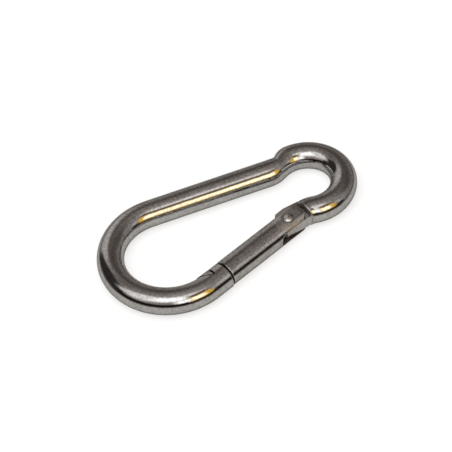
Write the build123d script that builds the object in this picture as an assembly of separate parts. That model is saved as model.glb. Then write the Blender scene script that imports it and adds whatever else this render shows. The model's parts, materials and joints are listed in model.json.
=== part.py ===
from build123d import *
import os
from math import cos, radians, sin, sqrt

# A spring snap hook bent from one round bar. All sizes are in millimetres.
# The hook lies in the XY plane, and its mid-plane is Z = 0. The origin is the centre of the eye.
# +X points from the bow to the eye, which is the way a rope on the eye pulls.
# +Y points to the closed side (the spine), and the gate is on the -Y side.

# ---- driving dimensions of the bent bar ----
LENGTH = 100.0              # over the bow and the eye
BAR_D = 9.5
BOW_R = 20.6                # bend radii, measured to the middle of the bar
EYE_R = 13.0
NECK_R = 6.3                # the bend between the eye and the gate's shoulder
PINCH_ANGLE = 84.0          # on the spine's side the eye's bar narrows, from this many degrees ...
CREASE_S = 49.0             # ... to a crease here along the spine ...
PINCH_START_S = 44.6        # ... and the spine narrows from here to the crease
CREASE_INNER_Y = 3.8        # the bar's inner edge at the crease
SIDE_ANGLE = 11.08          # each side leans in by this many degrees towards the eye
EDGE_BEVEL = 0.25           # on the ends of the bar and of the gate

# The gate frame: s runs along the gate, from where the bow ends to the hinge, and y points
# into the hook. Names that end in _S and _Y below are stations and offsets in this frame.

# ---- the nose: a pocket for the gate's barb, and a slot for the barb's neck ----
NOSE_END_S = 6.85
POCKET_WALL_S = 2.85
POCKET_FLOOR_Y = -0.15
POCKET_TIP_S = -2.7
POCKET_TIP_Y = 5.1
POCKET_SAG = 0.5            # the pocket's floor is an arc that hangs this far below its chord
POCKET_WALL_LEAN = 0.12     # mm per mm; the wall leans along the barb's swing
NECK_SLOT_W = 4.0

# ---- the gate ----
GATE_FRONT_S = 7.45
GATE_OFFSET = 0.33          # the gate's axis lies this far inside the bar's axis
GATE_OPEN_ANGLE = 43.0      # degrees; the barb then stops just short of the spine
BORE_END_S = 17.0
SLOT_END_S = 30.35          # the deepest point of the fork's round-ended slot
FORK_END_S = 43.35
FORK_SLOT_W = 4.8
FORK_CUT_Y = -2.3           # the outer corner is cut off from here ...
FORK_CUT_S = 39.5           # ... to here
FORK_CORNER_R = 1.3
CHEEK_FLAT_Z = 4.0          # the cheeks are flattened to this height, from round the rivet ...
CHEEK_FLAT_R = 2.3          # ... on this radius, to the fork's end
BARB_END_S = -1.95
BARB_GAP = 0.35             # between the barb and the pocket's floor
BARB_WALL_GAP = 0.65        # between the barb and the pocket's wall
BARB_NECK_W = 3.5
BARB_NECK_LIFT = 0.6        # from the pocket's floor to the neck's underside
BARB_NECK_ROOT = 0.3        # the neck reaches this far into the barb

# ---- the hinge: rivet and tongue ----
HINGE_S = 37.4
HINGE_Y = 0.1
RIVET_D = 2.8
RIVET_HEAD_D = 3.4
RIVET_SINK = 0.5            # depth of the countersink under each head
RIVET_DOME = 0.75           # height of each domed head over its cheek
TONGUE_T = 4.2
TONGUE_END_S = 33.9
TONGUE_INNER_Y = 5.75
TONGUE_INNER_CORNER_S = 36.5
TONGUE_INNER_BEND_S = 40.5  # the inner edge runs straight as far as this
TONGUE_OUTER_Y = -2.6
TONGUE_OUTER_CORNER_S = 34.8
TONGUE_CORNER_R = 0.8
TONGUE_ROOT_DEPTH = 1.2     # the tongue reaches this far into the bar
TONGUE_ROOT_INNER_Y = 4.4
TONGUE_ROOT_OUTER_Y = -4.15

# ---- the plunger and its spring, in the gate's bore ----
LEVER = 1.5                 # the plunger pushes the tongue this far from the hinge's centre
PLUNGER_D = 4.3
PLUNGER_BACK_S = 27.0
PLUNGER_BEVEL = 0.3
STEM_D = 2.0
STEM_L = 4.0
WIRE_D = 0.9
COIL_D = 3.2                # mean diameter of the coils
COIL_TURNS = 8

# ---- clearances ----
RUNNING_GAP = 0.05          # radial, for parts that turn or slide
SEAT_GAP = 0.01             # radial, for the rivet that is peened into the cheeks
CAM_GAP = 0.06              # between the plunger and the tongue
SPRING_GAP = 0.05           # at each end of the spring

# ---- worked out from the above ----
BAR_R = BAR_D / 2
ANGLE = radians(SIDE_ANGLE)
OPEN_ANGLE = radians(GATE_OPEN_ANGLE)
CENTRES = LENGTH - BAR_D - BOW_R - EYE_R    # from the bow's centre to the eye's centre
ALONG = Vector(cos(ANGLE), sin(ANGLE))
INWARD = Vector(-sin(ANGLE), cos(ANGLE))
START = Vector(BOW_R * sin(ANGLE) - CENTRES, -BOW_R * cos(ANGLE))
GATE_FRAME = Plane(origin=START, x_dir=ALONG, z_dir=(0, 0, 1))
EYE_S = CENTRES * cos(ANGLE)                # the eye's centre in the gate frame
EYE_Y = BOW_R - CENTRES * sin(ANGLE)
# The neck's bend leaves the gate line at NECK_S, where the bar is cut back to a shoulder.
# The bend's centre is NECK_R outside the gate line and EYE_R + NECK_R from the eye's centre.
NECK_S = EYE_S - sqrt((EYE_R + NECK_R) ** 2 - (EYE_Y + NECK_R) ** 2)
FORK_SLOT_R = FORK_SLOT_W / 2
WIDE = 2 * BAR_D                            # a cut this size goes right through the bar

AHEAD = (Align.MIN, Align.CENTER, Align.CENTER)      # grows towards the hinge
UPWARD = (Align.CENTER, Align.CENTER, Align.MIN)


def in_hook(s, y):
    """A point of the gate frame, in the hook's own frame."""
    return START + ALONG * s + INWARD * y


def other_side(point):
    """The mirror image of a point on the spine's side of the hook."""
    return Vector(point.X, -point.Y)


def turned(s, y, angle):
    """A point of the gate frame, turned about the hinge by an angle in radians."""
    ds, dy = s - HINGE_S, y - HINGE_Y
    return (HINGE_S + ds * cos(angle) - dy * sin(angle), HINGE_Y + ds * sin(angle) + dy * cos(angle))


def plate(face, thickness):
    """A plate on the mid-plane."""
    return extrude(face, amount=thickness / 2, both=True)


def rod(diameter, s_from, s_to, y=0.0):
    """A round rod along the gate line."""
    foot = Plane(origin=(s_from, y, 0), x_dir=(0, 1, 0), z_dir=(1, 0, 0))
    return foot * Cylinder(diameter / 2, s_to - s_from, align=UPWARD)


def bevel_end(shape, centre, size=EDGE_BEVEL):
    """The shape with the rim of the flat end around a point bevelled."""
    end = shape.faces().filter_by(GeomType.PLANE).sort_by_distance(centre)[0]
    return chamfer(end.edges(), size)


def round_bar(path):
    return sweep(Plane(origin=path @ 0, z_dir=path % 0) * Circle(BAR_R), path=path)


def around_eye(radius, degrees):
    return Vector(radius, 0).rotate(Axis.Z, degrees)


def tapered_bar(outer, inner):
    """A length of bar between two outlines in the mid-plane, as high as the bar everywhere."""
    steps = 6
    sections = []
    for step in range(steps + 1):
        from_point, to_point = (edge @ (step / steps) for edge in (outer, inner))
        across = to_point - from_point
        place = Plane(
            origin=(from_point + to_point) / 2,
            x_dir=(0, 0, 1),
            z_dir=across.cross(Vector(0, 0, 1)),
        )
        sections.append(place * Ellipse(BAR_R, across.length / 2))
    return loft(sections)


def pinched_neck():
    """Where the eye is bent onto the spine: a sharp crease outside, and a smooth curve inside."""
    spine_outer = other_side(in_hook(PINCH_START_S, -BAR_R))
    spine_inner = other_side(in_hook(PINCH_START_S, BAR_R))
    crease_outer = other_side(in_hook(CREASE_S, -BAR_R))
    crease_inner = other_side(in_hook(CREASE_S, CREASE_INNER_Y))
    into_crease = TangentArc(spine_inner, crease_inner, tangent=other_side(ALONG))
    spine_end = tapered_bar(Line(spine_outer, crease_outer), into_crease)

    turn = around_eye(1, PINCH_ANGLE + 90)
    outer = TangentArc(around_eye(EYE_R + BAR_R, PINCH_ANGLE), crease_outer, tangent=turn)
    inner = Spline(
        around_eye(EYE_R - BAR_R, PINCH_ANGLE), crease_inner, tangents=(turn, -(into_crease % 1))
    )
    return spine_end + tapered_bar(outer, inner)


def bent_bar():
    """The bar from the shoulder, round the eye, down the spine and round the bow to the nose."""
    shoulder = in_hook(NECK_S, 0)
    eye_start = in_hook(NECK_S, -NECK_R).normalized() * EYE_R
    nose_end = in_hook(NOSE_END_S, 0)
    eye = Wire(
        [
            TangentArc(shoulder, eye_start, tangent=ALONG),
            ThreePointArc(eye_start, (EYE_R, 0), around_eye(EYE_R, PINCH_ANGLE)),
        ]
    )
    sides = Wire(
        [
            Line(other_side(in_hook(PINCH_START_S, 0)), other_side(START)),
            ThreePointArc(other_side(START), (-CENTRES - BOW_R, 0), START),
            Line(START, nose_end),
        ]
    )
    bar = round_bar(eye) + pinched_neck() + round_bar(sides)
    return bevel_end(bevel_end(bar, shoulder), nose_end)


def pocket_face():
    """The outline of the nose's pocket: a curved floor that runs out at the tip, and a leaning wall."""
    corner = Vector(POCKET_WALL_S, POCKET_FLOOR_Y)
    tip = Vector(POCKET_TIP_S, POCKET_TIP_Y)
    chord = tip - corner
    sag = Vector(chord.Y, -chord.X).normalized() * -POCKET_SAG
    floor = ThreePointArc(corner, (corner + tip) / 2 + sag, tip)
    wall_top = (POCKET_WALL_S + POCKET_WALL_LEAN * BAR_D, BAR_D)
    rim = Polyline(tip, (POCKET_TIP_S, BAR_D), wall_top, corner)
    return make_face([floor, *rim.edges()])


def nose_cuts():
    """What is milled out of the nose, in the gate frame."""
    slot = Pos(POCKET_WALL_S, POCKET_FLOOR_Y) * Box(
        BAR_D, BAR_D, NECK_SLOT_W, align=(Align.MIN, Align.MIN, Align.CENTER)
    )
    return plate(pocket_face(), WIDE) + slot


def cam():
    """The curve on the tongue's end that the plunger slides on: an involute about the hinge.

    It makes the plunger's travel LEVER times the gate's angle.
    """
    steps = 6
    angles = [OPEN_ANGLE * step / steps for step in range(steps + 1)]
    return Spline([turned(TONGUE_END_S - LEVER * angle, HINGE_Y + LEVER, -angle) for angle in angles])


def tongue():
    """The flattened end of the bar that carries the gate, in the gate frame."""
    curve = cam()
    inner_corner = (TONGUE_INNER_CORNER_S, TONGUE_INNER_Y)
    outer_corner = (TONGUE_OUTER_CORNER_S, TONGUE_OUTER_Y)
    end_bevel = TONGUE_OUTER_CORNER_S - TONGUE_END_S
    root_s = NECK_S + TONGUE_ROOT_DEPTH
    rim = Polyline(
        curve @ 1,
        inner_corner,
        (TONGUE_INNER_BEND_S, TONGUE_INNER_Y),
        (root_s, TONGUE_ROOT_INNER_Y),
        (root_s, TONGUE_ROOT_OUTER_Y),
        outer_corner,
        (TONGUE_END_S, TONGUE_OUTER_Y + end_bevel),
        curve @ 0,
    )
    face = make_face([curve, *rim.edges()])
    for corner in (inner_corner, outer_corner):
        face = fillet(face.vertices().sort_by_distance(corner)[0], TONGUE_CORNER_R)
    hole = Pos(HINGE_S, HINGE_Y) * Cylinder(RIVET_D / 2 + RUNNING_GAP, WIDE)
    return plate(face, TONGUE_T) - hole


def hook_body():
    return bent_bar() - GATE_FRAME * nose_cuts() + GATE_FRAME * tongue()


def fork_slot():
    """The round-ended slot between the fork's cheeks."""
    centre = Pos(SLOT_END_S + FORK_SLOT_R, 0)
    return centre * (Box(WIDE, WIDE, FORK_SLOT_W, align=AHEAD) + Rot(90, 0, 0) * Cylinder(FORK_SLOT_R, WIDE))


def cheek_flats():
    """What is taken off the outside of both cheeks."""
    beyond_rivet = Box(BAR_D, WIDE, BAR_R, align=(Align.MIN, Align.CENTER, Align.MIN))
    round_rivet = Cylinder(CHEEK_FLAT_R, BAR_R, align=UPWARD)
    outside = Pos(HINGE_S, HINGE_Y, CHEEK_FLAT_Z) * (beyond_rivet + round_rivet)
    return outside + mirror(outside, about=Plane.XY)


def fork_corners():
    """What is taken off the fork's end: the outer corner straight, the inner corner round."""
    outer = Polyline(
        (FORK_END_S, FORK_CUT_Y),
        (FORK_CUT_S, -BAR_R),
        (FORK_CUT_S, -BAR_D),
        (FORK_END_S, -BAR_D),
        close=True,
    )
    round_centre = Pos(FORK_END_S - FORK_CORNER_R, GATE_OFFSET + BAR_R - FORK_CORNER_R)
    inner = round_centre * (
        Rectangle(BAR_R, BAR_R, align=(Align.MIN, Align.MIN)) - Circle(FORK_CORNER_R)
    )
    return plate(make_face(outer), WIDE) + plate(inner, WIDE)


def barb():
    """The barb that lies in the nose's pocket, and the neck that joins it to the gate."""
    wall_s = POCKET_WALL_S - BARB_WALL_GAP
    head = rod(BAR_D, BARB_END_S, wall_s, GATE_OFFSET) & plate(offset(pocket_face(), -BARB_GAP), WIDE)
    root_s = wall_s - BARB_NECK_ROOT
    neck_space = Pos(root_s, POCKET_FLOOR_Y + BARB_NECK_LIFT) * Box(
        BAR_D, BAR_D, BARB_NECK_W, align=(Align.MIN, Align.MIN, Align.CENTER)
    )
    neck = rod(BAR_D, root_s, GATE_FRONT_S + EDGE_BEVEL, GATE_OFFSET) & neck_space
    return head + neck


def rivet_shape(gap=0.0):
    """The rivet in the gate frame, with its shank and countersunk heads grown by a gap."""
    shank_r = RIVET_D / 2 + gap
    head_r = RIVET_HEAD_D / 2 + gap
    dome_r = (head_r**2 + RIVET_DOME**2) / (2 * RIVET_DOME)
    sphere = Pos(0, 0, CHEEK_FLAT_Z + RIVET_DOME - dome_r) * Sphere(dome_r)
    cap_space = Pos(0, 0, CHEEK_FLAT_Z) * Cylinder(BAR_R, BAR_R, align=UPWARD)
    sunk_head = Pos(0, 0, CHEEK_FLAT_Z - RIVET_SINK) * Cone(shank_r, head_r, RIVET_SINK, align=UPWARD)
    half = Cylinder(shank_r, CHEEK_FLAT_Z, align=UPWARD) + sunk_head + (sphere & cap_space)
    return Pos(HINGE_S, HINGE_Y) * (half + mirror(half, about=Plane.XY))


def fork_rim(bar):
    """The edges of the fork's end that are clear of the slot."""
    end = bar.edges().group_by(Axis.X)[-1]
    clear = FORK_SLOT_R + EDGE_BEVEL
    return [edge for edge in end if min(abs(corner.Z) for corner in edge.vertices()) > clear]


def gate():
    bar = rod(BAR_D, GATE_FRONT_S, FORK_END_S, GATE_OFFSET)
    bar = bevel_end(bar, (GATE_FRONT_S, GATE_OFFSET, 0))
    bore = rod(PLUNGER_D + 2 * RUNNING_GAP, BORE_END_S, FORK_END_S, GATE_OFFSET)
    bar = bar - bore - fork_slot() - cheek_flats() - fork_corners()
    bar = chamfer(fork_rim(bar), EDGE_BEVEL)
    return GATE_FRAME * (bar + barb() - rivet_shape(SEAT_GAP))


def hinge_rivet():
    return GATE_FRAME * rivet_shape()


def spring_plunger():
    """A flat-ended pin that presses on the tongue, with a stem that guides the spring."""
    face_s = TONGUE_END_S - CAM_GAP
    pin = rod(PLUNGER_D, PLUNGER_BACK_S, face_s, GATE_OFFSET)
    pin = bevel_end(pin, (face_s, GATE_OFFSET, 0), PLUNGER_BEVEL)
    stem = rod(STEM_D, PLUNGER_BACK_S - STEM_L, PLUNGER_BACK_S, GATE_OFFSET)
    return GATE_FRAME * (pin + stem)


def gate_spring():
    """The compression spring between the bore's end and the plunger."""
    coil_length = PLUNGER_BACK_S - BORE_END_S - 2 * SPRING_GAP - WIRE_D
    helix = Helix(coil_length / COIL_TURNS, coil_length, COIL_D / 2)
    wire = sweep(Plane(origin=helix @ 0, z_dir=helix % 0) * Circle(WIRE_D / 2), path=helix)
    first_turn_s = BORE_END_S + SPRING_GAP + WIRE_D / 2
    place = Plane(origin=(first_turn_s, GATE_OFFSET, 0), x_dir=(0, 1, 0), z_dir=(1, 0, 0))
    return GATE_FRAME * (place * wire)


PIECES = [hook_body, gate, hinge_rivet, spring_plunger, gate_spring]

os.makedirs("parts", exist_ok=True)
for piece in PIECES:
    export_step(piece(), f"parts/{piece.__name__}.step")
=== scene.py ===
"""A polished spring snap hook lying on a white studio floor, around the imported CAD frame."""

import json
import math

import bpy
from mathutils import Matrix, Vector


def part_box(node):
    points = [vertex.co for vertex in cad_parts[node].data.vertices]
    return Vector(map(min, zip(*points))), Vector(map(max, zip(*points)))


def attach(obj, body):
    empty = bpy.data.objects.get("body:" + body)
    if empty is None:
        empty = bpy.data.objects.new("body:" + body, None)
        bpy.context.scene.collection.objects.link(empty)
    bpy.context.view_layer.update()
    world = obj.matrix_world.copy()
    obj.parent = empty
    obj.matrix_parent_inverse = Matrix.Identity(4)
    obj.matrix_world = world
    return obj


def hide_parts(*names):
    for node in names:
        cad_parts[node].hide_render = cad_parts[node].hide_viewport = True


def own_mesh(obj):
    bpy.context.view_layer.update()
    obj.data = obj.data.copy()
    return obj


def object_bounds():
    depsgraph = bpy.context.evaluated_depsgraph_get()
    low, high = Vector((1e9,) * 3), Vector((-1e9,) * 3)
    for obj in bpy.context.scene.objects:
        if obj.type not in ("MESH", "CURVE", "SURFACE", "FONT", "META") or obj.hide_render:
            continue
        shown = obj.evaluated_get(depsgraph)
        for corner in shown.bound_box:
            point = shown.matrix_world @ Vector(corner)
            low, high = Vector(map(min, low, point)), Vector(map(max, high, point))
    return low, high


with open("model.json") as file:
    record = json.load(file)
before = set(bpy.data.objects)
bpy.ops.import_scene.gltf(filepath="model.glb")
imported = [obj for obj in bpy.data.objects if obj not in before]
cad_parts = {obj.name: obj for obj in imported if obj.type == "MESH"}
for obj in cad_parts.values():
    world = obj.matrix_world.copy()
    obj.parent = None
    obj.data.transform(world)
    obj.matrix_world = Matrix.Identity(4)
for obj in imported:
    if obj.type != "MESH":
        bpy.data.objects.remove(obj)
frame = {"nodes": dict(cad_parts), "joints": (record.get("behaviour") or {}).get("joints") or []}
cad_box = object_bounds()

LOW, HIGH = cad_box
CENTRE = (LOW + HIGH) / 2
LENGTH = HIGH.x - LOW.x
NODES = frame["nodes"]

MM = 0.001


# ---------------------------------------------------------------- node helpers
def add(tree, kind, values=(), **settings):
    """A new shader node with its inputs set or linked in order."""
    node = tree.nodes.new(kind)
    for name, value in settings.items():
        setattr(node, name, value)
    for place, value in enumerate(values):
        put(tree, node.inputs[place], value)
    return node


def put(tree, socket, value):
    """Links an output to a socket, or sets the socket to a plain value."""
    if isinstance(value, bpy.types.NodeSocket):
        tree.links.new(value, socket)
    elif value is not None:
        socket.default_value = value


def maths(tree, operation, *values):
    """The result of a maths node on plain values and outputs."""
    return add(tree, "ShaderNodeMath", values, operation=operation).outputs[0]


def smooth_step(tree, value, start, end):
    """0 before start, 1 after end, and smooth between."""
    node = add(tree, "ShaderNodeMapRange", interpolation_type="SMOOTHSTEP")
    put(tree, node.inputs["Value"], value)
    put(tree, node.inputs["From Min"], start)
    put(tree, node.inputs["From Max"], end)
    return node.outputs["Result"]


def mix_colour(tree, share, first, second):
    """The first colour where share is 0, the second where it is 1."""
    node = add(tree, "ShaderNodeMix", data_type="RGBA")
    put(tree, node.inputs["Factor"], share)
    put(tree, node.inputs[6], first)
    put(tree, node.inputs[7], second)
    return node.outputs[2]


# ---------------------------------------------------------------- studio
def grey(level, warmth=0.0):
    """A light's colour: its brightness, and how much warmer than white it is."""
    return (level * (1 + 1.3 * warmth), level, level * (1 - 0.7 * warmth), 1)


def panel(tree, azimuth, elevation, below, colour, at, wide, at_height, high, soft):
    """Paints a soft-edged panel over the studio that the metal reflects. Angles are in degrees."""
    turn = maths(tree, "SUBTRACT", azimuth, math.radians(at))
    turn = maths(tree, "WRAP", turn, math.pi, -math.pi)
    aside = maths(tree, "ABSOLUTE", turn)
    rise = maths(tree, "ABSOLUTE", maths(tree, "SUBTRACT", elevation, math.radians(at_height)))
    across = smooth_step(tree, aside, math.radians(wide + soft), math.radians(max(wide - soft, 0)))
    upward = smooth_step(tree, rise, math.radians(high + soft), math.radians(max(high - soft, 0)))
    return mix_colour(tree, maths(tree, "MULTIPLY", across, upward), below, colour)


ROOM = grey(0.28, 0.10)
PANELS = (
    # colour, direction, half width, height, half height, edge softness
    (grey(0.075, 0.14), 31, 95, 40, 25, 25),         # dark far wall
    (grey(0.50, 0.05), 92, 17, 27, 21, 12),          # grey board on the right
    (grey(0.030, 0.10), 138, 30, 24, 25, 5),         # black flag on the right
    (grey(0.35, 0.00), 0, 180, 94, 9, 10),           # ceiling
    (grey(0.96, 0.06), -65, 30, 67, 11, 11),         # pale screen high over the gate
    (grey(0.26, 0.08), -39, 20, 42, 36, 20),         # brown wall on the left
    (grey(0.08, 0.28), -76, 18, 53, 8, 6),           # gap under the screen
    (grey(1.75, 0.00), -139, 42, 60, 15, 12),        # large softbox behind the camera
    (grey(1.65, 0.02), -102, 14, 19, 22, 7),         # softbox on the gate's side
    (grey(0.85, 0.03), 175, 25, 54, 21, 9),          # dimmer end of the large softbox
    ((0.90, 0.56, 0.10, 1), -77, 18, 29, 18, 4),     # the warm lamp's golden rim ...
    ((2.00, 1.84, 1.38, 1), -82, 10, 31, 11, 5),     # ... and its bright middle
    (grey(0.50, 0.06), -50, 6, 33, 10, 4),           # pale strip that the gate reflects
    (grey(0.008, 0.10), -148, 52, 8, 12, 6),         # black flag under the large softbox
    (grey(0.005, 0.40), -84, 42, 1, 12, 4),          # dark skirting ...
    (grey(0.010, 0.30), -54, 8, 6, 12, 4),           # ... and its taller end
    (grey(0.14, 0.04), 9, 52, -3, 9, 13),            # far edge of the table
)


def studio_world():
    """A room seen only in the metal: softboxes, a warm lamp, black flags and a dark ceiling."""
    world = bpy.data.worlds.new("studio")
    bpy.context.scene.world = world
    world.use_nodes = True
    tree = world.node_tree
    tree.nodes.clear()
    direction = add(tree, "ShaderNodeTexCoord").outputs["Generated"]
    split = add(tree, "ShaderNodeSeparateXYZ", [direction]).outputs
    azimuth = maths(tree, "ARCTAN2", split[1], split[0])
    elevation = maths(tree, "ARCSINE", split[2])
    shade = ROOM
    for colour, at, wide, at_height, high, soft in PANELS:
        shade = panel(tree, azimuth, elevation, shade, colour, at, wide, at_height, high, soft)
    background = add(tree, "ShaderNodeBackground", [shade, 1.0])
    output = add(tree, "ShaderNodeOutputWorld")
    tree.links.new(background.outputs[0], output.inputs["Surface"])


FLOOR_SIZE = 60 * LENGTH
FLOOR_BASE = (0.30, 0.30, 0.30, 1)
FLOOR_GLOW = (1.0, 0.998, 0.995, 1)
FLOOR_GLOW_STRENGTH = 0.70
FLOOR_IN_METAL = (0.42, 0.415, 0.405, 1)         # where a reflection meets the floor steeply ...
FLOOR_IN_METAL_FAR = (0.08, 0.075, 0.07, 1)      # ... and where it runs out along the floor
FLOOR_FAR_SLOPE = 0.04                           # sines of the angles between which it changes
FLOOR_NEAR_SLOPE = 0.26


def floor():
    """A matt white table. The metal sees it dimmer than the camera does.

    It glows a little for the camera alone, which keeps the hook's shadow faint.
    """
    bpy.ops.mesh.primitive_plane_add(size=FLOOR_SIZE, location=(CENTRE.x, CENTRE.y, LOW.z))
    table = bpy.context.object
    table.name = "floor"
    material = bpy.data.materials.new("floor_white")
    material.use_nodes = True
    tree = material.node_tree
    shader = tree.nodes["Principled BSDF"]
    path = add(tree, "ShaderNodeLightPath").outputs
    back = add(tree, "ShaderNodeNewGeometry").outputs["Incoming"]
    slope = add(tree, "ShaderNodeSeparateXYZ", [back]).outputs[2]
    steep = smooth_step(tree, slope, FLOOR_FAR_SLOPE, FLOOR_NEAR_SLOPE)
    in_metal = mix_colour(tree, steep, FLOOR_IN_METAL_FAR, FLOOR_IN_METAL)
    glow = maths(tree, "MULTIPLY", path["Is Camera Ray"], FLOOR_GLOW_STRENGTH)
    put(tree, shader.inputs["Base Color"], mix_colour(tree, path["Is Glossy Ray"], FLOOR_BASE, in_metal))
    put(tree, shader.inputs["Emission Color"], FLOOR_GLOW)
    put(tree, shader.inputs["Emission Strength"], glow)
    shader.inputs["Roughness"].default_value = 0.9
    shader.inputs["Specular IOR Level"].default_value = 0.0
    table.data.materials.append(material)


TOP_LIGHT_SIZE = 12 * LENGTH
TOP_LIGHT_WATTS = 9.0
TOP_LIGHT_PLACE = Vector((-2 * LENGTH, -1 * LENGTH, 9 * LENGTH))     # from the middle of the hook


def top_light():
    """A wide soft light over the table, kept out of the metal's reflections."""
    light = bpy.data.lights.new("top_light", "AREA")
    light.shape = "DISK"
    light.size = TOP_LIGHT_SIZE
    light.energy = TOP_LIGHT_WATTS
    lamp = bpy.data.objects.new("top_light", light)
    lamp.location = CENTRE + TOP_LIGHT_PLACE
    lamp.rotation_euler = (CENTRE - lamp.location).to_track_quat("-Z", "Y").to_euler()
    lamp.visible_glossy = False
    bpy.context.scene.collection.objects.link(lamp)


VIEW_AZIMUTH = math.radians(-27.68)
VIEW_ELEVATION = math.radians(49.20)
VIEW_ROLL = math.radians(6.12)
VIEW_DISTANCE = 8.364 * LENGTH
VIEW_AIM = Vector((-0.0180 * LENGTH, -0.0033 * LENGTH, 0))    # from the middle of the hook
SENSOR = 36.0                                                 # in Blender's millimetres
LENS = 5.3097 * SENSOR                                        # long, so there is little perspective


def camera():
    """Looks down on the gate's side of the hook, a little rolled."""
    data = bpy.data.cameras.new("camera")
    data.sensor_width = SENSOR
    data.lens = LENS
    data.clip_start = 0.1 * LENGTH
    data.clip_end = 100 * LENGTH
    back = Vector((
        math.sin(VIEW_AZIMUTH) * math.cos(VIEW_ELEVATION),
        -math.cos(VIEW_AZIMUTH) * math.cos(VIEW_ELEVATION),
        math.sin(VIEW_ELEVATION),
    ))
    right = Vector((math.cos(VIEW_AZIMUTH), math.sin(VIEW_AZIMUTH), 0))
    up = back.cross(right)
    turn = Matrix((right, up, back)).transposed() @ Matrix.Rotation(-VIEW_ROLL, 3, "Z")
    lens = bpy.data.objects.new("camera", data)
    lens.matrix_world = Matrix.Translation(CENTRE + VIEW_AIM + back * VIEW_DISTANCE) @ turn.to_4x4()
    bpy.context.scene.collection.objects.link(lens)
    bpy.context.scene.camera = lens


# ---------------------------------------------------------------- materials
BAR_R = (HIGH.z - LOW.z) / 2
JOINTS = {joint["name"]: joint for joint in frame["joints"]}
HINGE = Vector(JOINTS["gate_hinge"]["pos_m"])
RIVET_R = (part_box("hinge_rivet")[1].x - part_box("hinge_rivet")[0].x) / 2
TRAVEL = tuple(JOINTS["plunger_slide"]["axis"])      # the plunger's, along the gate

GRAIN = 0.8 * MM            # size of the mottle on the polished bar
STREAK_STRETCH = 14         # polishing streaks are this many times longer than wide
NEAR_HINGE = 7 * MM         # the tongue lies within this distance of the hinge's axis


def noise(tree, place, size, detail=2.0, roughness=0.5, distortion=0.0):
    """Noise from 0 to 1, with blotches of about this size in metres."""
    node = add(tree, "ShaderNodeTexNoise")
    put(tree, node.inputs["Vector"], place)
    node.inputs["Scale"].default_value = 1 / size
    node.inputs["Detail"].default_value = detail
    node.inputs["Roughness"].default_value = roughness
    node.inputs["Distortion"].default_value = distortion
    return node.outputs["Fac"]


def object_place(tree):
    """Coordinates fixed to the piece, in metres."""
    return add(tree, "ShaderNodeTexCoord").outputs["Object"]


def grain_spots(tree, place):
    """The fine mottle of polished bar: 0 to 1, with soft spots."""
    spots = noise(tree, place, GRAIN, detail=2, roughness=0.6)
    return smooth_step(tree, spots, 0.30, 0.70)


def along_bar(tree, stretch):
    """Coordinates that run with a round bar: fast round its section, slow along its length.

    The height of the surface's normal tells how far round the section a point is.
    """
    coordinates = add(tree, "ShaderNodeTexCoord").outputs
    height = add(tree, "ShaderNodeSeparateXYZ", [coordinates["Normal"]]).outputs[2]
    round_section = maths(tree, "MULTIPLY", maths(tree, "ARCSINE", height), BAR_R)
    place = add(tree, "ShaderNodeSeparateXYZ", [coordinates["Object"]]).outputs
    slow = [maths(tree, "MULTIPLY", axis, 1 / stretch) for axis in place[:2]]
    return add(tree, "ShaderNodeCombineXYZ", [slow[0], slow[1], round_section]).outputs[0]


SCRATCH_TILT = (0.3, 0.2)           # radians about X and Y, so that no face lies along the pattern
SCRATCH_SQUEEZE = 0.06              # the noise is drawn out along a scratch by one over this
SCRATCH_FROM, SCRATCH_FULL = 0.62, 0.70     # only the peaks of the noise are scratches


def scratches(tree, place, size, angle, seed):
    """Thin straight scratches in one direction: 1 on a scratch, 0 between them."""
    turned = add(tree, "ShaderNodeMapping")
    put(tree, turned.inputs["Vector"], place)
    turned.inputs["Location"].default_value = (seed, seed, seed)
    turned.inputs["Rotation"].default_value = (*SCRATCH_TILT, math.radians(angle))
    turned.inputs["Scale"].default_value = (1, SCRATCH_SQUEEZE, 1)
    lines = noise(tree, turned.outputs[0], size, detail=1.0)
    return smooth_step(tree, lines, SCRATCH_FROM, SCRATCH_FULL)


CREVICE_FROM, CREVICE_FULL = 0.58, 0.22     # shares of the light that still reach a face


def crevice_shade_mask(tree, depth):
    """1 where other faces close in within this depth, 0 on open faces: the mask for painted shade."""
    light = add(tree, "ShaderNodeAmbientOcclusion", samples=8)
    light.inputs["Distance"].default_value = depth
    return smooth_step(tree, light.outputs["AO"], CREVICE_FROM, CREVICE_FULL)


EDGE_FROM, EDGE_FULL = 0.99, 0.85           # cosines of the angle by which rounding turns a face


def soft_edges(tree, radius):
    """The normal with every edge rounded, and a mask that is 1 on the edges."""
    rounded = add(tree, "ShaderNodeBevel", samples=4)
    rounded.inputs["Radius"].default_value = radius
    true_normal = add(tree, "ShaderNodeNewGeometry").outputs["Normal"]
    match = add(tree, "ShaderNodeVectorMath", [rounded.outputs[0], true_normal], operation="DOT_PRODUCT")
    return rounded.outputs[0], smooth_step(tree, match.outputs["Value"], EDGE_FROM, EDGE_FULL)


def bump(tree, height, depth, normal):
    """Raises the surface by height (0 to 1) times depth in metres."""
    node = add(tree, "ShaderNodeBump")
    node.inputs["Strength"].default_value = 1.0
    node.inputs["Distance"].default_value = depth
    put(tree, node.inputs["Height"], height)
    put(tree, node.inputs["Normal"], normal)
    return node.outputs[0]


def metal(name):
    """An empty metal material, its tree and its shader."""
    material = bpy.data.materials.new(name)
    material.use_nodes = True
    tree = material.node_tree
    shader = tree.nodes["Principled BSDF"]
    shader.inputs["Metallic"].default_value = 1.0
    return material, tree, shader


BLACK = (0, 0, 0, 1)
# Painted shade: the colour and roughness laid on gaps, hollows and faces that lie in shade.
PAINTED_SHADE_COLOUR = (0.020, 0.017, 0.014, 1)
PAINTED_SHADE_ROUGHNESS = 0.6
WORN = (0.86, 0.84, 0.81, 1)
WORN_SHARE = 0.8            # how far a worn edge takes on the worn colour
WORN_ROUGHNESS = 0.42
GRAZING = (0.60, 0.59, 0.58, 1)      # what clean metal reflects at a shallow angle


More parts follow.
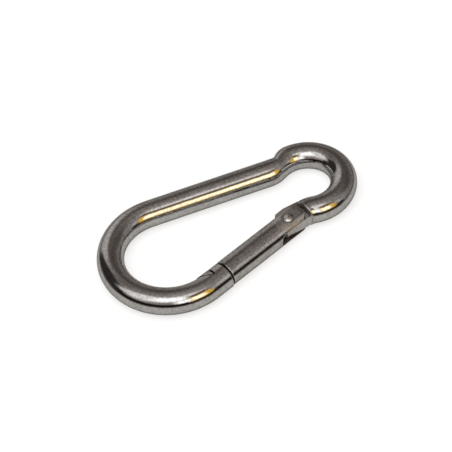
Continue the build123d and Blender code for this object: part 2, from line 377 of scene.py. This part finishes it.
def finish_metal(
    tree,
    shader,
    light,
    dark,
    tone,
    gloss,
    height,
    depth,
    edge=0.35 * MM,
    gap=3.0 * MM,
    shade_to_paint=0.0,
    bare=0.0,
):
    """Joins the shared parts of each metal: two tones, gloss, worn edges and painted shade in gaps.

    tone goes from the light colour (0) to the dark one (1), and height times depth is the bump.
    The second-last argument is 1 where shade is painted in any case, and bare is 1 on dull clean faces.
    """
    normal, worn = soft_edges(tree, edge)
    worn = maths(tree, "MAXIMUM", worn, bare)
    # Painted shade: faces closed in by others, and the masks passed in, get a near-black colour, rougher
    # gloss and no shallow-angle reflection.
    painted_shade_mask = maths(tree, "MAXIMUM", crevice_shade_mask(tree, gap), shade_to_paint)
    painted_shade_mask = maths(tree, "MULTIPLY", painted_shade_mask, maths(tree, "SUBTRACT", 1.0, bare))
    colour = mix_colour(tree, tone, light, dark)
    colour = mix_colour(tree, maths(tree, "MULTIPLY", worn, WORN_SHARE), colour, WORN)
    colour = mix_colour(tree, painted_shade_mask, colour, PAINTED_SHADE_COLOUR)
    rough = maths(tree, "MAXIMUM", gloss, maths(tree, "MULTIPLY", worn, WORN_ROUGHNESS))
    rough = maths(tree, "MAXIMUM", rough, maths(tree, "MULTIPLY", painted_shade_mask, PAINTED_SHADE_ROUGHNESS))
    put(tree, shader.inputs["Base Color"], colour)
    put(tree, shader.inputs["Specular Tint"], mix_colour(tree, painted_shade_mask, GRAZING, BLACK))
    put(tree, shader.inputs["Roughness"], rough)
    put(tree, shader.inputs["Normal"], bump(tree, height, depth, normal))


def weighted(tree, *terms):
    """The sum of values, each times its weight."""
    total = 0.0
    for value, weight in terms:
        total = maths(tree, "MULTIPLY_ADD", value, weight, total)
    return total


def from_hinge(tree, place):
    """The way from the gate's hinge to a point, and how far that is from the hinge's axis."""
    away = add(tree, "ShaderNodeVectorMath", [place, tuple(HINGE)], operation="SUBTRACT").outputs[0]
    flat = add(tree, "ShaderNodeVectorMath", [away, (1, 1, 0)], operation="MULTIPLY").outputs[0]
    return away, add(tree, "ShaderNodeVectorMath", [flat], operation="LENGTH").outputs["Value"]


def tongue_faces(tree, place):
    """Two masks: the tongue's flat faces, rubbed dull by the fork, and the shoulder behind them, which
    gets painted shade.
    """
    near = smooth_step(tree, from_hinge(tree, place)[1], NEAR_HINGE + MM, NEAR_HINGE)
    normal = add(tree, "ShaderNodeTexCoord").outputs["Normal"]
    up = add(tree, "ShaderNodeSeparateXYZ", [normal]).outputs[2]
    height = add(tree, "ShaderNodeSeparateXYZ", [place]).outputs[2]
    level = smooth_step(tree, maths(tree, "ABSOLUTE", up), 0.97, 0.99)
    inner = smooth_step(tree, maths(tree, "ABSOLUTE", height), 0.60 * BAR_R, 0.55 * BAR_R)
    flats = maths(tree, "MULTIPLY", level, inner)
    facing = add(tree, "ShaderNodeVectorMath", [normal, TRAVEL], operation="DOT_PRODUCT").outputs["Value"]
    shoulder = smooth_step(tree, facing, 0.70, 0.85)
    return maths(tree, "MULTIPLY", flats, near), maths(tree, "MULTIPLY", shoulder, near)


def polished_bar():
    """Bright polished steel: cloudy polish, streaks along the bar, and fine scratches."""
    material, tree, shader = metal("polished_bar")
    place = object_place(tree)
    cloud = noise(tree, place, 7 * MM, detail=4)
    streak = noise(tree, along_bar(tree, STREAK_STRETCH), 0.35 * MM, detail=2)
    grain = grain_spots(tree, place)
    marks = maths(
        tree, "MAXIMUM", scratches(tree, place, 0.35 * MM, 35, 1), scratches(tree, place, 0.3 * MM, -50, 2)
    )
    tone = weighted(tree, (cloud, 0.4), (streak, 0.3), (grain, 0.6), (marks, -0.15), (1.0, -0.30))
    gloss = weighted(tree, (smooth_step(tree, cloud, 0.35, 0.75), 0.03), (streak, 0.02), (marks, 0.10))
    gloss = maths(tree, "ADD", gloss, 0.015)
    wave = noise(tree, place, 4.5 * MM, detail=1)
    height = weighted(tree, (wave, 0.7), (grain, 0.05), (streak, 0.02), (marks, -0.03))
    light, dark = (0.78, 0.775, 0.77, 1), (0.38, 0.37, 0.36, 1)
    # The shoulder behind the tongue gets painted shade, passed on as a mask.
    flats, shoulder = tongue_faces(tree, place)
    finish_metal(tree, shader, light, dark, tone, gloss, height, 0.03 * MM, shade_to_paint=shoulder, bare=flats)
    return material


def inside_gate(tree, away):
    """1 on the milled faces inside the gate, 0 on its round outside and on the cheeks."""
    travel = add(tree, "ShaderNodeVectorMath", [away, TRAVEL], operation="DOT_PRODUCT")
    along = add(tree, "ShaderNodeVectorMath", [TRAVEL], operation="SCALE")
    put(tree, along.inputs["Scale"], travel.outputs["Value"])
    out = add(tree, "ShaderNodeVectorMath", [away, along.outputs[0]], operation="SUBTRACT").outputs[0]
    from_axis = add(tree, "ShaderNodeVectorMath", [out], operation="LENGTH").outputs["Value"]
    height = maths(tree, "ABSOLUTE", add(tree, "ShaderNodeSeparateXYZ", [out]).outputs[2])
    low = smooth_step(tree, height, 0.76 * BAR_R, 0.68 * BAR_R)
    return maths(tree, "MULTIPLY", smooth_step(tree, from_axis, 0.95 * BAR_R, 0.90 * BAR_R), low)


def polished_gate():
    """The gate's duller polish, with a hammered patch round the rivet."""
    material, tree, shader = metal("polished_gate")
    place = object_place(tree)
    cloud = noise(tree, place, 6 * MM, detail=4)
    streak = noise(tree, along_bar(tree, STREAK_STRETCH), 0.45 * MM, detail=2)
    grain = grain_spots(tree, place)
    marks = maths(
        tree, "MAXIMUM", scratches(tree, place, 0.4 * MM, 10, 3), scratches(tree, place, 0.35 * MM, 70, 4)
    )
    away, reach = from_hinge(tree, place)
    patch = smooth_step(tree, reach, 7.5 * MM, 3.5 * MM)
    dents = noise(tree, place, 1.1 * MM, detail=2, roughness=0.6, distortion=0.6)
    tone = weighted(
        tree, (cloud, 0.45), (streak, 0.35), (grain, 0.65), (patch, -0.25), (marks, -0.15), (1.0, -0.27)
    )
    gloss = weighted(tree, (cloud, 0.05), (streak, 0.04), (marks, 0.08), (patch, 0.24))
    gloss = maths(tree, "ADD", gloss, 0.04)
    wave = noise(tree, place, 4 * MM, detail=1)
    hammered = maths(tree, "MULTIPLY", dents, patch)
    height = weighted(tree, (wave, 0.8), (grain, 0.10), (streak, 0.05), (hammered, 0.9), (marks, -0.03))
    light, dark = (0.76, 0.745, 0.73, 1), (0.36, 0.345, 0.33, 1)
    # Painted shade: a patchy dark ring round the rivet's edge, and darker milled faces inside the gate's
    # slot.
    from_rivet = maths(tree, "ABSOLUTE", maths(tree, "SUBTRACT", reach, RIVET_R))
    rim = smooth_step(tree, from_rivet, 0.65 * MM, 0.30 * MM)
    shade_to_paint = maths(tree, "MULTIPLY", rim, smooth_step(tree, cloud, 0.35, 0.50))
    shade_to_paint = maths(tree, "MAXIMUM", shade_to_paint, maths(tree, "MULTIPLY", inside_gate(tree, away), 0.8))
    finish_metal(tree, shader, light, dark, tone, gloss, height, 0.04 * MM, shade_to_paint=shade_to_paint)
    return material


def peened_rivet():
    """A rivet head spread by a hammer: dented, bright on top, with painted shade where it meets the cheek.
    """
    material, tree, shader = metal("peened_rivet")
    place = object_place(tree)
    dents = noise(tree, place, 0.9 * MM, detail=2, distortion=0.8)
    grain = noise(tree, place, 0.3 * MM, detail=2)
    tone = weighted(tree, (dents, 0.5), (grain, 0.4))
    gloss = maths(tree, "MULTIPLY_ADD", dents, 0.12, 0.14)
    height = weighted(tree, (dents, 1.0), (grain, 0.10))
    light, dark = (0.96, 0.95, 0.93, 1), (0.74, 0.72, 0.69, 1)
    finish_metal(tree, shader, light, dark, tone, gloss, height, 0.30 * MM, edge=0.1 * MM, gap=0.6 * MM)
    return material


def turned_steel():
    """A turned pin: fine tool rings round its length."""
    material, tree, shader = metal("turned_steel")
    place = object_place(tree)
    pitch = 0.12 * MM
    along = add(tree, "ShaderNodeVectorMath", [place, TRAVEL], operation="DOT_PRODUCT").outputs["Value"]
    rings = maths(tree, "SINE", maths(tree, "MULTIPLY", along, 2 * math.pi / pitch))
    grain = noise(tree, place, 0.4 * MM, detail=3)
    cloud = noise(tree, place, 3 * MM, detail=3)
    tone = weighted(tree, (cloud, 0.6), (grain, 0.3), (rings, 0.05))
    gloss = maths(tree, "MULTIPLY_ADD", grain, 0.15, 0.20)
    height = weighted(tree, (rings, 0.05), (grain, 0.3))
    light, dark = (0.62, 0.60, 0.57, 1), (0.38, 0.36, 0.33, 1)
    finish_metal(tree, shader, light, dark, tone, gloss, height, 0.02 * MM)
    return material


def spring_wire():
    """Oiled spring wire: dark and mottled, with a fine grain."""
    material, tree, shader = metal("spring_wire")
    place = object_place(tree)
    cloud = noise(tree, place, 1.5 * MM, detail=3)
    grain = noise(tree, place, 0.2 * MM, detail=2)
    tone = weighted(tree, (cloud, 0.8), (grain, 0.4))
    gloss = maths(tree, "MULTIPLY_ADD", cloud, 0.2, 0.22)
    light, dark = (0.50, 0.47, 0.43, 1), (0.26, 0.24, 0.21, 1)
    finish_metal(tree, shader, light, dark, tone, gloss, grain, 0.01 * MM, edge=0.05 * MM)
    return material


# ---------------------------------------------------------------- the spring
CLOSED_TURNS = 1            # at each end of the spring
OPEN_TURNS = 7
STEPS_PER_TURN = 24
WIRE_SHARE = 0.22           # the wire's diameter, as a share of the coil's outer diameter
CLOSED_PITCH = 1.02         # of the wire's diameter, so that closed turns just clear each other
WIRE_BEVEL = 5              # Blender's bevel resolution for the round wire


def coil_curve(foot, along, length, across):
    """A coil of wire from its foot, with closed turns at both ends and open ones between them."""
    wire = WIRE_SHARE * across
    closed = CLOSED_PITCH * wire
    opened = (length - wire - 2 * CLOSED_TURNS * closed) / OPEN_TURNS
    turns = 2 * CLOSED_TURNS + OPEN_TURNS
    side = Vector((0, 0, 1))
    other = along.cross(side)

    curve = bpy.data.curves.new("coil_spring", "CURVE")
    curve.dimensions = "3D"
    curve.bevel_depth = wire / 2
    curve.bevel_resolution = WIRE_BEVEL
    curve.use_fill_caps = True
    wound = curve.splines.new("POLY")
    wound.points.add(turns * STEPS_PER_TURN)
    for step, point in enumerate(wound.points):
        turn = step / STEPS_PER_TURN
        open_part = min(max(turn - CLOSED_TURNS, 0), OPEN_TURNS)
        rise = closed * (turn - open_part) + opened * open_part
        angle = 2 * math.pi * turn
        out = (side * math.cos(angle) + other * math.sin(angle)) * (across - wire) / 2
        point.co = (*(foot + along * (wire / 2 + rise) + out), 1)
    return curve


def closed_spring(material):
    """The gate's spring, in place of the CAD one."""
    along = -Vector(TRAVEL)
    low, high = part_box("gate_spring")
    across = high.z - low.z
    length = (high.x - low.x - across * along.y) / along.x      # the box holds a tilted cylinder
    foot = (low + high) / 2 - along * length / 2

    wound = bpy.data.objects.new("coil_spring", coil_curve(foot, along, length, across))
    bpy.context.scene.collection.objects.link(wound)
    mesh = bpy.data.meshes.new_from_object(wound)
    bpy.data.objects.remove(wound)
    spring = bpy.data.objects.new("coil_spring", mesh)
    bpy.context.scene.collection.objects.link(spring)
    mesh.materials.clear()
    mesh.materials.append(material)
    mesh.shade_smooth()

    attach(spring, "gate")
    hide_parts("gate_spring")
    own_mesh(spring)


# ---------------------------------------------------------------- the scene
def dress(node, material):
    """Gives a CAD node a material in place of its own."""
    slots = NODES[node].data.materials
    slots.clear()
    slots.append(material)


dress("hook_body", polished_bar())
dress("gate", polished_gate())
dress("hinge_rivet", peened_rivet())
dress("spring_plunger", turned_steel())
wire_material = spring_wire()
dress("gate_spring", wire_material)
closed_spring(wire_material)

studio_world()
floor()
top_light()
camera()
scene = bpy.context.scene
scene.view_settings.view_transform = "Standard"
scene.view_settings.look = "None"
